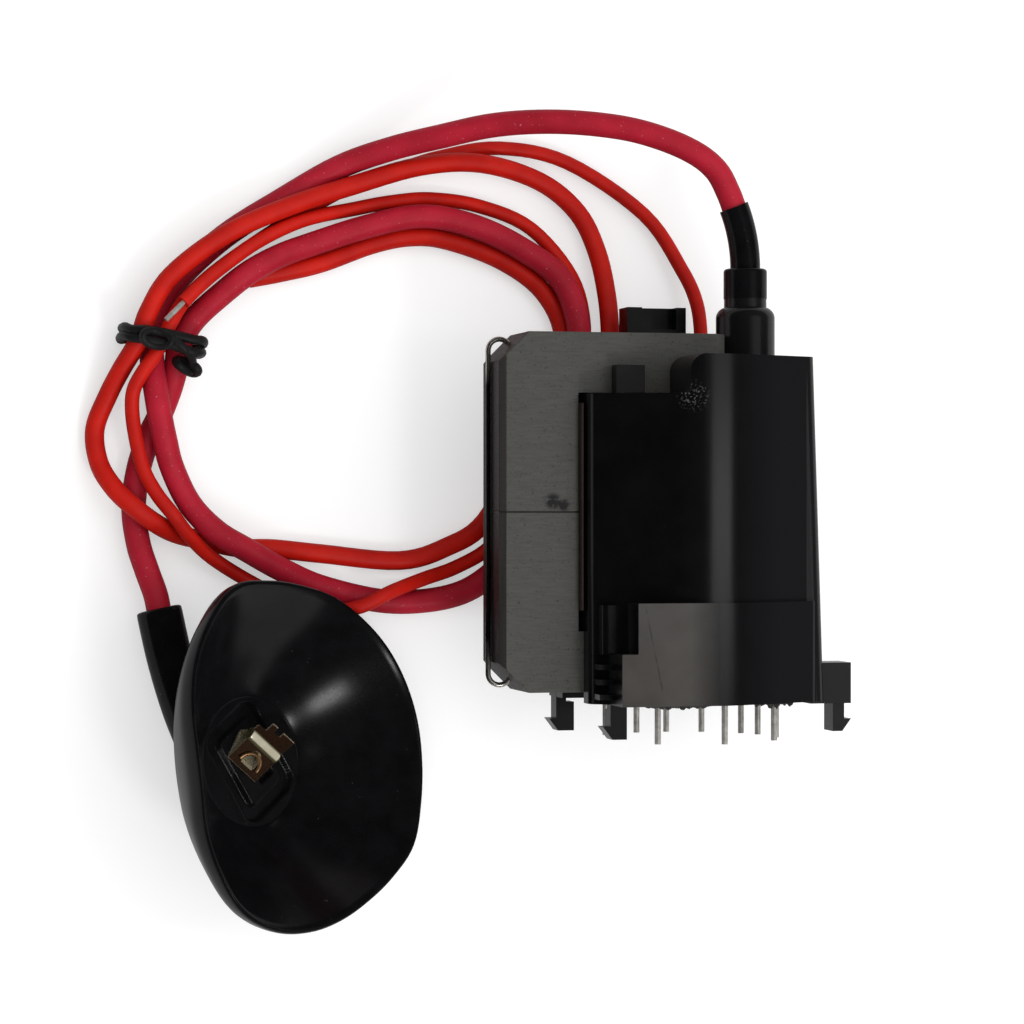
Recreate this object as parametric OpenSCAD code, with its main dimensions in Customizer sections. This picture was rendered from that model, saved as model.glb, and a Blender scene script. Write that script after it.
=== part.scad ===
/* [Core] */
// Width of the core's outer leg
core_leg_w = 15.2; // [12:0.2:18]
// Distance from the inner leg's axis to the outer leg's inner face
core_window = 22.4; // [22.4:0.2:25]
// Height of each core half, from the mating plane
core_half_h = 34; // [32:0.5:40]
// Height of the yoke
core_yoke_h = 11.5; // [9:0.5:13]
// Depth of the core
core_depth = 15; // [13:0.5:16]
// Diameter of the round inner leg
core_leg_d = 13.6; // [11:0.2:13.8]
// Length of the yoke past the inner leg's axis
core_overhang = 7.2; // [7:0.1:7.6]
// Chamfer at the core's outer corners
core_corner = 5.6; // [4.6:0.2:7]
// Bevel along the core's outer edges
core_bevel = 1.2; // [0.6:0.1:2]
// Bevel at the yoke's free end
core_end_bevel = 2.3; // [1:0.1:3]
// Thickness of the films in the air gap
gap_film_t = 0.3; // [0.1:0.05:0.6]
// Diameter of the clip's spring wire
clip_wire_d = 1; // [0.8:0.1:1.2]
// Bend radius of the clip's curled ends
clip_bend_r = 2.2; // [2:0.1:2.6]
// Thickness of the insulation sheet
sheet_t = 0.4; // [0.2:0.1:0.6]

/* [Case] */
// Gap between the coil and the case's rear wall
coil_gap = 1; // [0.2:0.1:3]
// Wall thickness of the case
case_wall = 2; // [1.6:0.1:2.2]
// Distance from the axis to the case's left wall
case_left = 21.5; // [21:0.1:22]
// Distance from the axis to the case's right wall at the top
case_right = 22.5; // [22:0.1:25]
// Height of the front ridge above the axis
ridge_h = 22; // [20:0.5:26]
// Radius of the front ridge
ridge_r = 15; // [12:0.5:17]
// Height of the left front edge above the axis
left_edge_h = 13; // [12:0.5:15]
// Height of the right front edge above the axis
right_edge_h = 14.5; // [13:0.5:17]
// Edge radius of the case
edge_r = 2.5; // [2.4:0.1:3]
// Draft angle of the right wall
draft_angle = 1.85; // [0.5:0.05:2.5]
// Height of the tall right part above the left part
tall_h = 7.3; // [5:0.1:11]
// Distance from the axis to the tall part's left face
tall_left = 4.5; // [2:0.1:6]
// Height of the base
base_h = 19.1; // [17:0.1:21]
// Distance of the base's front panel above the axis
panel_h = 22.8; // [22:0.1:25]
// Width of the base's front panel
panel_w = 15.8; // [12:0.1:18]

/* [High-voltage outlet] */
// Distance of the tower from the inner leg's axis
tower_x = 13.4; // [13.4:0.1:15]
// Radius of the tower
tower_r = 5.7; // [5:0.1:6]
// Height of the tower
tower_h = 10.2; // [8:0.1:14]
// Radius of the tower's neck
neck_r = 4.1; // [3.6:0.1:4.6]
// Height of the collar
collar_h = 5.8; // [4:0.1:8]
// Radius of the lead's sleeve
sleeve_r = 2.9; // [2.7:0.1:3.3]
// Bend radius of the lead's sleeve
sleeve_bend_r = 32; // [28:1:36]
// Angle that the sleeve bends through
sleeve_angle = 22; // [18:1:26]

/* [Coils and pins] */
// Wall of the primary bobbin's tube
bobbin_wall = 1.5; // [1.2:0.1:1.8]
// Outer radius of the primary winding
primary_r = 10.4; // [9.4:0.1:10.8]
// Inner radius of the secondary bobbin
secondary_r = 11; // [10.9:0.1:11.4]
// Outer radius of the secondary bobbin's flanges
flange_r = 17; // [15:0.1:17.2]
// Number of winding slots in the secondary bobbin
slot_count = 8; // [4:1:10]
// Diameter of the terminal pins
pin_d = 1.2; // [0.8:0.1:1.4]
// Length of the terminal pins below the base
pin_len = 7.5; // [4:0.5:12]
// Radius of the circle that the pins stand on
pin_circle_r = 17.5; // [17:0.1:17.6]

/* [Focus pack] */
// Height of the pack's cover
pack_h = 10; // [9:0.5:10]
// Width of the pack's cover
pack_w = 31; // [28:0.5:31]
// Length of the pack's cover
pack_len = 60; // [56:0.5:62]
// Wall thickness of the pack's cover
pack_wall = 1.8; // [1.4:0.1:2.2]
// Diameter of the adjusters
knob_d = 8; // [6:0.2:10]
// Distance of each adjuster from the mating plane
knob_y = 13; // [11:0.5:15]

/* [Leads] */
// Diameter of the anode lead
anode_d = 4.8; // [4:0.1:5]
// Diameter of the focus lead
focus_d = 3.8; // [3:0.1:4]
// Diameter of the screen lead
screen_d = 2.8; // [2.2:0.1:3]
// Diameter of the bare wire at the thin leads' ends
tip_d = 1; // [0.6:0.1:1.2]

/* [Anode cap] */
// Radius of the cap's rim
cap_r = 32; // [30:0.5:36]
// Depth of the cup
cap_depth = 15.5; // [13:0.5:18]
// Radius of the cup's floor
cap_floor_r = 12.5; // [11:0.5:14]
// Thickness of the rubber behind the floor
cap_back = 7; // [6:0.5:8]
// Radius of the cap's side entry tube
cap_tube_r = 4.4; // [4:0.1:4.8]
// Angle that the cap leans over to the right
cap_tilt = 35; // [30:1:40]
// Angle that the cap's lean is turned away from the case
cap_turn = 12; // [0:1:20]

/* [Hidden] */
$fn = 64;

black_plastic = [0.05, 0.05, 0.055];
black_rubber = [0.06, 0.06, 0.065];
ferrite_grey = [0.3, 0.3, 0.29];
tin = [0.75, 0.75, 0.72];
orange_red = [0.85, 0.12, 0.06];
crimson = [0.7, 0.1, 0.18];

// Clearance between pieces that are potted or glued together
bond = 0.05;
// Clearance of a moulded part round the core
fit = 0.3;
// Length by which a cut runs past a face
past = 1;
// Depth by which a straight side lies inside the rounds that it joins
seam = 0.02;

core_left = -core_window - core_leg_w;
// Height of the inner leg's axis above the rest face
axis_h = pack_h + case_wall + flange_r + coil_gap;
outlet_h = axis_h - 1;
bobbin_r = core_leg_d / 2 + bobbin_wall;
yoke_y = core_half_h - core_yoke_h;
left_top = yoke_y - fit;
tall_top = left_top + tall_h;
base_bottom = -core_half_h - 2;
base_top = base_bottom + base_h;
slot_half = core_depth / 2 + fit;
slot_right = core_overhang + fit;
cavity_top = left_top - case_wall;
rear_z = pack_h;

// Front and rear edges of the case as [x, z, radius], anticlockwise
function case_corners(front) = [
    [edge_r - case_left, rear_z + edge_r, edge_r],
    [case_right - edge_r, rear_z + edge_r, edge_r],
    [case_right - edge_r, axis_h + right_edge_h - edge_r, edge_r + front],
    [0, axis_h + ridge_h - ridge_r, ridge_r + front],
    [edge_r - case_left, axis_h + left_edge_h - edge_r, edge_r]
];

function shrunk(corners, t) = [for (c = corners) [c[0], c[1], c[2] - t]];

// Outward unit normal of the straight side from round corner a to round corner b
function tangent_normal(a, b) =
    let(d = [b[0] - a[0], b[1] - a[1]], l = norm(d), c = (a[2] - b[2]) / l, s = sqrt(1 - c * c))
    [(c * d[0] + s * d[1]) / l, (c * d[1] - s * d[0]) / l];

// Outline that wraps round corners given anticlockwise as [x, z, radius]
module rounded_hull(corners) {
    n = len(corners);
    polygon([for (i = [0:n - 1])
        let(a = corners[i], b = corners[(i + 1) % n], t = tangent_normal(a, b))
        let(ra = a[2] - seam, rb = b[2] - seam)
        each [[a[0] + ra * t[0], a[1] + ra * t[1]], [b[0] + rb * t[0], b[1] + rb * t[1]]]]);
    for (c = corners) translate([c[0], c[1]]) circle(r = c[2]);
}

// Rectangle between two corners with round corners
module rounded_box(low, high, r) {
    rounded_hull([
        [low[0] + r, low[1] + r, r], [high[0] - r, low[1] + r, r],
        [high[0] - r, high[1] - r, r], [low[0] + r, high[1] - r, r]
    ]);
}

module block(low, high) translate(low) cube(high - low);

// Extrudes an outline drawn in X and Z along Y
module along_y(y0, y1) translate([0, y1, 0]) rotate([90, 0, 0]) linear_extrude(y1 - y0) children();

// Places a piece that is turned about Z on an axis along Y
module on_axis(x, y, z) translate([x, y, z]) rotate([-90, 0, 0]) children();

module tube(inner, outer, y0, y1) {
    on_axis(0, y0, axis_h)
        rotate_extrude() translate([inner, 0]) square([outer - inner, y1 - y0]);
}

// Core

module core_half() {
    intersection() {
        translate([0, 0, axis_h - core_depth / 2]) linear_extrude(core_depth) polygon([
            [core_overhang, yoke_y], [core_overhang, core_half_h],
            [core_left + core_corner, core_half_h], [core_left, core_half_h - core_corner],
            [core_left, gap_film_t / 2], [-core_window, gap_film_t / 2], [-core_window, yoke_y]
        ]);
        along_y(0, core_half_h) core_plan();
    }
    on_axis(0, gap_film_t / 2, axis_h)
        cylinder(d = core_leg_d, h = yoke_y - gap_film_t / 2);
}

// Outline of the core seen from above its yoke, with its long edges bevelled
module core_plan() {
    low = axis_h - core_depth / 2;
    high = axis_h + core_depth / 2;
    polygon([
        [core_left + core_bevel, low], [core_overhang - core_end_bevel, low],
        [core_overhang, low + core_end_bevel], [core_overhang, high - core_end_bevel],
        [core_overhang - core_end_bevel, high], [core_left + core_bevel, high],
        [core_left, high - core_bevel], [core_left, low + core_bevel]
    ]);
}

clip_x = core_left - clip_wire_d / 2 - bond;
clip_end_x = clip_x + clip_bend_r * (1 + cos(45));
clip_reach = 0.4;
clip_bend_y = core_half_h - core_corner + clip_end_x - core_left + clip_reach * sqrt(2)
    - clip_bend_r * sin(45);
clip_seat = 0.8;

// Straight end of the clip, square to the core's chamfer
module clip_tip(d, length) {
    translate([clip_end_x, clip_bend_y + clip_bend_r * sin(45), axis_h])
        rotate([0, 0, -45]) rotate([0, 90, 0]) cylinder(d = d, h = length);
}

module upper_core() {
    color(ferrite_grey) difference() {
        core_half();
        clip_tip(clip_wire_d + 2 * bond, clip_reach + clip_seat + bond);
    }
}

module lower_core() {
    color(ferrite_grey) mirror([0, 1, 0]) difference() {
        core_half();
        clip_tip(clip_wire_d + 2 * bond, clip_reach + clip_seat + bond);
    }
}

module outer_gap_film() {
    color("khaki") along_y(-gap_film_t / 2, gap_film_t / 2) intersection() {
        core_plan();
        translate([core_left, 0]) square([core_leg_w, 2 * axis_h]);
    }
}

module inner_gap_film() {
    color("khaki") on_axis(0, -gap_film_t / 2, axis_h) cylinder(d = core_leg_d, h = gap_film_t);
}

module core_clip() {
    color(tin) {
        on_axis(clip_x, -clip_bend_y, axis_h) cylinder(d = clip_wire_d, h = 2 * clip_bend_y);
        for (side = [0, 1]) mirror([0, side, 0]) {
            translate([clip_x + clip_bend_r, clip_bend_y, axis_h]) rotate([0, 0, 45])
                rotate_extrude(angle = 135) translate([clip_bend_r, 0]) circle(d = clip_wire_d);
            clip_tip(clip_wire_d, clip_reach + clip_seat);
        }
    }
}

module insulation_sheet() {
    x = -core_window + bond;
    color("saddlebrown")
        block([x, 4 - yoke_y, axis_h - core_depth / 2 - 2],
            [x + sheet_t, yoke_y - 2, axis_h + core_depth / 2 + 2]);
}

// Case

// Right wall, which leans out towards the base by the draft angle
module drafted_wall(y0) {
    r = edge_r;
    x = case_right - edge_r;
    intersection() {
        translate([x, tall_top, 0]) rotate([0, 0, draft_angle]) along_y(-2 * tall_top - base_h - 20, 10)
            rounded_hull([[-r, rear_z + r, r], [0, rear_z + r, r],
                [0, axis_h + right_edge_h - r, r], [-r, axis_h + right_edge_h - r, r]]);
        block([0, y0, 0], [2 * case_right, tall_top, 3 * axis_h]);
    }
}

// Upper right part, cut away where the core's yoke passes
module tall_part() {
    fillet_r = 3;
    difference() {
        along_y(left_top, tall_top) intersection() {
            rounded_hull(case_corners(0));
            translate([-tall_left, 0]) square([2 * case_right, 3 * axis_h]);
        }
        difference() {
            translate([-tall_left - past, tall_top - fillet_r, axis_h])
                cube([fillet_r + past, fillet_r + past, 2 * axis_h]);
            translate([fillet_r - tall_left, tall_top - fillet_r, axis_h])
                cylinder(r = fillet_r + seam, h = 2 * axis_h);
        }
    }
}

module yoke_slot(grow) {
    block([-2 * case_left, left_top - grow, axis_h - slot_half - grow],
        [slot_right + grow, 2 * core_half_h, axis_h + slot_half + grow]);
}

// Space inside the case, shrunk by t for what fills it
module cavity(t, bottom) {
    difference() {
        along_y(bottom, cavity_top - t) rounded_hull(shrunk(case_corners(0), case_wall + t));
        mirror([0, 1, 0]) yoke_slot(case_wall + t);
    }
}

module base() {
    panel_right = 0.7;
    panel_left = panel_right - panel_w;
    toe_w = 3.1;
    toe_h = 9.7;
    pocket_in = 1.5;
    pocket_reach = 15;
    rib_in = 0.7;
    rib_h = 1;
    rib_pitch = 2.8;
    rib_reach = 16.5;
    along_y(base_bottom, base_top) {
        rounded_hull(case_corners(0.8));
        translate([panel_left, axis_h]) square([panel_w, panel_h]);
    }
    block([panel_left - toe_w, base_bottom, axis_h + slot_half],
        [panel_left, base_bottom + toe_h, axis_h + panel_h]);
    along_y(base_bottom + toe_h - 0.3, base_top - 0.5)
        rounded_box([pocket_in - case_left, axis_h + slot_half], [panel_left, axis_h + pocket_reach], 1.5);
    for (rib = [0:2])
        block([rib_in - case_left, base_bottom + rib_h + rib_pitch * rib, axis_h + slot_half],
            [panel_left - toe_w, base_bottom + 2 * rib_h + rib_pitch * rib, axis_h + rib_reach]);
}

// Snap post with its barb pointing to -X, hanging from y = 0
module snap_post(width, length, depth) {
    barb = 1.4;
    barb_h = 2.4;
    linear_extrude(depth) polygon([
        [0, past], [width, past], [width, -length], [0.4, -length],
        [-barb, barb_h - length], [0, barb_h - length]
    ]);
}

module snap_posts() {
    length = 6.6;
    depth = 4;
    rear_w = 3.6;
    front_w = 3.2;
    front_in = 3.5;
    front_up = 10;
    lug_w = 8.2;
    lug_h = 7.2;
    lug_drop = 0.6;
    lug_up = 4;
    lug_d = 7;
    side_w = 2.3;
    side_in = 1;
    translate([-case_left, base_bottom, rear_z + edge_r + 1]) snap_post(rear_w, length, depth);
    translate([front_in - case_left, base_bottom, axis_h + front_up]) snap_post(front_w, length, depth);
    block([case_right, base_bottom - lug_drop, axis_h + lug_up],
        [case_right + lug_w, base_bottom + lug_h, axis_h + lug_up + lug_d]);
    translate([case_right + lug_w - side_in, base_bottom, axis_h + lug_up + side_in])
        mirror([1, 0, 0]) snap_post(side_w, length - lug_drop, lug_d - 2 * side_in);
}

module tower() {
    shoulder_r = 2.2;
    on_axis(tower_x, tall_top - past, outlet_h) rotate_extrude() {
        square([tower_r, tower_h - shoulder_r + past]);
        square([tower_r - shoulder_r, tower_h + past]);
        translate([tower_r - shoulder_r, tower_h - shoulder_r + past]) circle(r = shoulder_r);
        square([neck_r, tower_h + neck_h + past]);
    }
}

neck_h = 1.6;
neck_top = tall_top + tower_h + neck_h;
stem_r = 2.5;
stem_len = 9;

// Tab in front of the yoke and the notched block behind it
module yoke_guides() {
    tab_x = -16;
    tab_w = 5.6;
    tab_h = 5.5;
    tab_reach = 11;
    stop_x = -6.6;
    stop_w = 12;
    stop_h = 6.3;
    stop_d = 6;
    notch_x = stop_x + 3;
    notch_w = 7;
    notch_d = 3;
    peg_w = 2;
    block([tab_x, left_top - past, axis_h + slot_half],
        [tab_x + tab_w, left_top + tab_h, axis_h + tab_reach]);
    difference() {
        block([stop_x, left_top - past, rear_z], [stop_x + stop_w, core_half_h + stop_h, rear_z + stop_d]);
        block([notch_x, core_half_h + 2, rear_z + notch_d],
            [notch_x + notch_w, core_half_h + stop_h + past, rear_z + stop_d + past]);
    }
    block([notch_x, core_half_h + 1, rear_z + notch_d - bond],
        [notch_x + peg_w, core_half_h + stop_h - 1, rear_z + stop_d]);
}

module case() {
    color(black_plastic) difference() {
        union() {
            difference() {
                union() {
                    along_y(base_bottom, left_top) rounded_hull(case_corners(0));
                    tall_part();
                    drafted_wall(base_bottom);
                    base();
                }
                yoke_slot(0);
                mirror([0, 1, 0]) yoke_slot(0);
            }
            yoke_guides();
            snap_posts();
            tower();
        }
        cavity(0, base_bottom - past);
        tube(0, bobbin_r + bond, base_bottom, core_half_h);
        on_axis(tower_x, neck_top - stem_len - bond, outlet_h)
            cylinder(r = stem_r + bond, h = stem_len + past);
    }
}

module potting_resin() {
    color([0.12, 0.1, 0.09]) difference() {
        cavity(bond, base_bottom + resin_inset);
        tube(0, flange_r + bond, bobbin_low - bond, cavity_top);
        for (a = pin_angles) at_pin(a) cylinder(d = pin_root_d + 2 * bond, h = pin_free + pin_root + bond);
        diodes(bond);
    }
}

// Coils

bobbin_low = -cavity_top + bond;
bobbin_high = cavity_top - bond;
flange_t = 1.2;
winding_gap = 0.1;

module primary_bobbin() {
    color("ivory") {
        tube(core_leg_d / 2 + bond, bobbin_r, -left_top, left_top);
        tube(bobbin_r - bond, secondary_r - winding_gap, bobbin_low, bobbin_low + flange_t);
        tube(bobbin_r - bond, secondary_r - winding_gap, bobbin_high - flange_t, bobbin_high);
    }
}

module primary_winding() {
    color([0.6, 0.28, 0.12])
        tube(bobbin_r + bond, primary_r, bobbin_low + flange_t + bond, bobbin_high - flange_t - bond);
}

slot_pitch = (bobbin_high - bobbin_low - flange_t) / slot_count;
secondary_wall = 1.2;

module secondary_bobbin() {
    color("ivory") {
        tube(secondary_r, secondary_r + secondary_wall, bobbin_low, bobbin_high);
        for (i = [0:slot_count])
            tube(secondary_r, flange_r, bobbin_low + i * slot_pitch,
                bobbin_low + i * slot_pitch + flange_t);
    }
}

module secondary_winding() {
    color([0.65, 0.3, 0.12]) for (i = [0:slot_count - 1]) {
        y = bobbin_low + i * slot_pitch;
        tube(secondary_r + secondary_wall + bond, flange_r - 1, y + flange_t + bond, y + slot_pitch - bond);
    }
}

diode_d = 3;
diode_len = 6;
diode_gap = 1.2;
// Place of the diodes beside the coil, in the case's right front corner
diode_angle = 31;
diode_reach = flange_r + diode_d / 2 + 1.2;
diode_x = diode_reach * cos(diode_angle);
diode_z = diode_reach * sin(diode_angle);

module diodes(grow) {
    for (i = [-2:1])
        on_axis(diode_x, i * (diode_len + diode_gap) + diode_gap / 2 - grow, axis_h + diode_z)
            cylinder(d = diode_d + 2 * grow, h = diode_len + 2 * grow);
}

module rectifier_diodes() color([0.2, 0.2, 0.22]) diodes(0);

// Angle of each terminal pin round the pin circle
pin_angles = [125, 83, 35, 8, 340, 325, 297, 274, 253, 223];
pin_circle_x = 1;
pin_circle_z = axis_h + 0.5;
pin_root = 10;
pin_root_d = pin_d - 0.4;
resin_inset = 0.6;
pin_free = pin_len + resin_inset;

// Places a piece on the pin circle, standing up from the pin's free end
module at_pin(angle) {
    on_axis(pin_circle_x + pin_circle_r * cos(angle), base_bottom - pin_len,
        pin_circle_z + pin_circle_r * sin(angle))
        children();
}

module terminal_pins() {
    color(tin) for (a = pin_angles) at_pin(a) {
        cylinder(d = pin_d, h = pin_free);
        cylinder(d = pin_root_d, h = pin_free + pin_root);
    }
}

// Focus pack

pack_right = 20;
pack_left = pack_right - pack_w;
pack_corner = 2;
knob_x = pack_right - pack_w / 2;
knob_gap = 0.05;
knob_flange = 1.5;
knob_flange_t = 1.4;
knob_sunk = 0.3;
board_t = 1;
board_z = pack_h - 1.2 - board_t;
outlet_r = 3;
outlet_len = 2;
outlet_z = pack_h / 2;
focus_outlet_x = -7;
screen_outlet_x = 12;

module pack_outline(inset) {
    rounded_box([pack_left + inset, inset - pack_len / 2], [pack_right - inset, pack_len / 2 - inset],
        pack_corner - inset / 2);
}

module focus_pack_cover() {
    rib_t = 1;
    color(black_plastic) {
        difference() {
            linear_extrude(pack_h) pack_outline(0);
            translate([0, 0, pack_wall]) linear_extrude(pack_h) pack_outline(pack_wall);
            for (y = [-knob_y, knob_y]) translate([knob_x, y, -past])
                cylinder(d = knob_d + 2 * knob_gap, h = pack_wall + 2 * past);
        }
        for (x = [pack_left + pack_wall + 2, pack_right - pack_wall - 2])
            for (y = [pack_wall + 2 - pack_len / 2, pack_len / 2 - pack_wall - 2])
                translate([x, y, pack_wall - bond]) cylinder(r = 1.6, h = board_z - pack_wall + bond);
        block([pack_left + pack_wall - bond, -rib_t / 2, pack_wall - bond],
            [pack_right - pack_wall + bond, rib_t / 2, board_z]);
        for (x = [focus_outlet_x, screen_outlet_x]) on_axis(x, pack_len / 2 - bond, outlet_z)
            cylinder(r = outlet_r, h = outlet_len + bond);
    }
}

module resistor_board() {
    color([0.85, 0.83, 0.76]) translate([0, 0, board_z]) linear_extrude(board_t)
        pack_outline(pack_wall + 0.2);
}

// Screwdriver adjuster, turned about its own axis
module knob() {
    slot_w = 1.2;
    slot_deep = 1.1;
    boss_r = 1.6;
    difference() {
        rotate_extrude() {
            translate([0, knob_sunk])
                square([knob_d / 2, pack_wall + knob_gap + knob_flange_t - knob_sunk]);
            translate([0, pack_wall + knob_gap]) square([knob_d / 2 + knob_flange, knob_flange_t]);
            square([boss_r, knob_top + wiper_t]);
        }
        block([-knob_d, -slot_w / 2, -past], [knob_d, slot_w / 2, knob_sunk + slot_deep]);
        translate([0, 0, -past]) cylinder(d = knob_d, h = past + knob_sunk);
    }
}

knob_top = pack_wall + knob_gap + knob_flange_t;
wiper_t = 0.4;
wiper_arm = 4;

// Sprung contact on the adjuster's inner end, reaching up to the board
module wiper() {
    boss_r = 1.6;
    translate([0, 0, knob_top]) difference() {
        union() {
            cylinder(r = boss_r + 1.4, h = wiper_t);
            block([-0.8, 0, 0], [0.8, wiper_arm, wiper_t]);
            block([-0.8, wiper_arm - wiper_t, 0], [0.8, wiper_arm, board_z - knob_top - 0.1]);
        }
        translate([0, 0, -past]) cylinder(r = boss_r + bond, h = wiper_t + 2 * past);
    }
}

module focus_knob() color([0.75, 0.75, 0.72]) translate([knob_x, knob_y, 0]) knob();
module screen_knob() color([0.75, 0.75, 0.72]) translate([knob_x, -knob_y, 0]) knob();
module focus_wiper() color("goldenrod") translate([knob_x, knob_y, 0]) wiper();
module screen_wiper() color("goldenrod") translate([knob_x, -knob_y, 0]) wiper();

// Leads

module lead_collar() {
    collar_r = neck_r + 0.1;
    color(black_rubber) on_axis(tower_x, neck_top, outlet_h) rotate_extrude() {
        square([collar_r, collar_h - 0.6]);
        square([collar_r - 0.6, collar_h]);
        translate([collar_r - 0.6, collar_h - 0.6]) circle(r = 0.6);
        translate([0, -stem_len]) square([stem_r, stem_len + bond]);
    }
}

module lead_sleeve() {
    color(black_rubber) translate([tower_x - sleeve_bend_r, neck_top + collar_h, outlet_h])
        rotate_extrude(angle = sleeve_angle) translate([sleeve_bend_r, 0]) circle(r = sleeve_r);
}

sleeve_dir = [-sin(sleeve_angle), cos(sleeve_angle), 0];
sleeve_end = [
    tower_x - sleeve_bend_r * (1 - cos(sleeve_angle)),
    neck_top + collar_h + sleeve_bend_r * sin(sleeve_angle),
    outlet_h
];
focus_start = [focus_outlet_x, pack_len / 2 + outlet_len, outlet_z];
screen_start = [screen_outlet_x, pack_len / 2 + outlet_len, outlet_z];
// Straight length with which each lead leaves its outlet
lead_out = 3;

anode_route = [
    [7.6, 66, 29], [3.5, 69.3, 28.6], [-3, 72.2, 27.4], [-11, 74.4, 25], [-22, 75.6, 21],
    [-33, 75.3, 16], [-43.5, 73.2, 11],
    [-52.5, 71, 7], [-62, 67.5, 4], [-73, 61, 2.6], [-84.5, 53.5, 2.5], [-94, 44.5, 2.7], [-98, 37.5, 3.5],
    [-98.6, 33, 3.7], [-98.7, 28, 5.1], [-98.3, 23.5, 6.9], [-97.7, 19, 7.9], [-96.6, 14, 7.3],
    [-95, 8.5, 6], [-91.5, 1.5, 5.5], [-86.5, -3.8, 6.7], [-80.5, -7.4, 6.8], [-73.5, -11.2, 5],
    [-65.5, -14.6, 2.7], [-54, -17.4, 2.5], [-45, -17.6, 2.5], [-37, -16, 2.5], [-31, -12.4, 2.7],
    [-26.6, -7.5, 3.8], [-23, 0, 5.2], [-18.5, 12, 6.2], [-15.5, 24, 6.2], [-13.6, 35, 6],
    [-17, 46, 5], [-26, 52.6, 5], [-36, 56.8, 5], [-46, 58.2, 5], [-57, 55.8, 4.9], [-68, 52.1, 4.5],
    [-74.4, 49.6, 5.7], [-80.4, 46.2, 6.5], [-86, 41.6, 5], [-89.8, 38, 3.7], [-92, 35, 3.7],
    [-93.4, 31.6, 3.7], [-93.9, 28, 3.2],
    [-94.9, 24, 2.5], [-96.6, 19.5, 2.5], [-99, 14.5, 2.5], [-101, 8.5, 2.5], [-102, 1, 2.5],
    [-101.2, -6, 3.2], [-99.8, -11, 4.6]
];
focus_route = [
    [-7.4, 43, 4], [-9, 52, 2.4], [-13, 60, 2], [-21, 66, 2.4], [-33.5, 69, 4.6], [-46, 68, 5.6],
    [-60, 63.7, 6], [-71.8, 59.6, 7], [-84.8, 53.6, 7.3], [-95.2, 45.6, 7.4], [-99.8, 38.4, 8],
    [-101.6, 33, 7.3], [-104.6, 27.6, 5.4], [-107, 22.6, 3.4], [-109.4, 16, 2], [-108.8, 9.5, 3.4], [-106.2, 4.6, 6],
    [-102.4, 0.8, 7.5], [-98.2, -2.2, 6.4], [-94, -4.2, 3.6], [-89, -5.4, 2.1], [-81.5, -7, 2],
    [-74.5, -7.2, 2], [-65, -8.2, 2], [-49.5, -9.6, 2], [-40, -7, 2], [-32, -1.8, 2],
    [-24.5, 12, 2], [-19, 24, 2], [-16, 35, 2], [-20, 43.9, 2], [-28.5, 50, 2], [-39.5, 53.8, 2],
    [-47, 54.4, 2], [-55, 52.7, 2], [-65, 48.9, 2], [-73, 46.9, 1.9], [-79.4, 45.6, 1.9]
];
screen_route = [
    [11.4, 42, 4], [8.6, 49, 2.6], [1, 60, 1.5], [-15, 70, 1.5], [-29, 72.5, 1.5], [-41, 70.4, 1.5],
    [-50, 67.4, 1.5], [-60.2, 63.6, 1.5], [-70.8, 57.4, 1.5], [-80.4, 51, 1.6], [-87.6, 45.6, 4.2],
    [-92.8, 40.6, 6.9], [-95.4, 36.6, 8], [-97.2, 33, 8.4], [-98.7, 30, 8.8], [-101, 26.8, 8.9],
    [-102.7, 23.2, 7.9],
    [-102.8, 19, 6.9], [-102, 13.5, 7], [-100.6, 8, 7.1], [-98.2, 3.5, 7.6], [-95.2, -0.4, 8.2],
    [-92, -4.4, 7], [-87, -8.9, 4.3], [-78.5, -14, 2], [-70, -18, 2.4], [-64, -19.4, 4.8], [-58, -18.4, 7],
    [-52, -15.6, 6.8], [-45, -13.2, 4], [-38, -11, 1.7], [-31, -7, 1.5], [-26, 0, 1.5], [-20.4, 12, 1.5],
    [-14.8, 24, 1.5], [-12.8, 30, 1.5], [-11.4, 37, 1.5], [-14, 47, 1.5], [-22.5, 56.6, 1.5],
    [-33, 60.8, 1.5],
    [-43, 62, 1.6], [-51, 61.2, 1.8], [-58.6, 59.6, 2.6], [-69, 57, 5.2], [-78, 52.7, 7.2],
    [-85.2, 47.6, 8.2], [-90, 43.6, 9.4], [-93.4, 40.2, 10.2]
];

// Position on a smooth curve through b and c, with a and d as its neighbours
function curve_point(a, b, c, d, t) =
    0.5 * (2 * b + (c - a) * t + (2 * a - 5 * b + 4 * c - d) * t * t + (3 * b - a - 3 * c + d) * t * t * t);

// Smooth path through a route's points, with two steps to each stretch
function smooth_path(p) = let(n = len(p)) concat(
    [for (i = [0:n - 2], t = [0, 0.5]) curve_point(
        i == 0 ? 2 * p[0] - p[1] : p[i - 1], p[i], p[i + 1],
        i == n - 2 ? 2 * p[n - 1] - p[n - 2] : p[i + 2], t)],
    [p[n - 1]]);

function unit(v) = v / norm(v);

// Ring of points about path point i, square to the path
function ring(path, i, r, sides) =
    let(n = len(path),
        ahead = path[min(i + 1, n - 1)] - path[max(i - 1, 0)],
        across = unit(cross(ahead, [0, 0, 1])),
        up = cross(across, unit(ahead)))
    [for (k = [0:sides - 1]) path[i] + r * (cos(360 * k / sides) * across + sin(360 * k / sides) * up)];

// Closed tube swept along a path
module swept_tube(path, d, sides) {
    n = len(path);
    polyhedron(
        points = [for (i = [0:n - 1]) each ring(path, i, d / 2, sides)],
        faces = concat(
            [[for (k = [0:sides - 1]) sides - 1 - k]],
            [for (i = [0:n - 2], k = [0:sides - 1]) let(m = (k + 1) % sides)
                each [[i * sides + k, i * sides + m, (i + 1) * sides + m],
                    [i * sides + k, (i + 1) * sides + m, (i + 1) * sides + k]]],
            [[for (k = [0:sides - 1]) (n - 1) * sides + k]]),
        convexity = 10);
}

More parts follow.
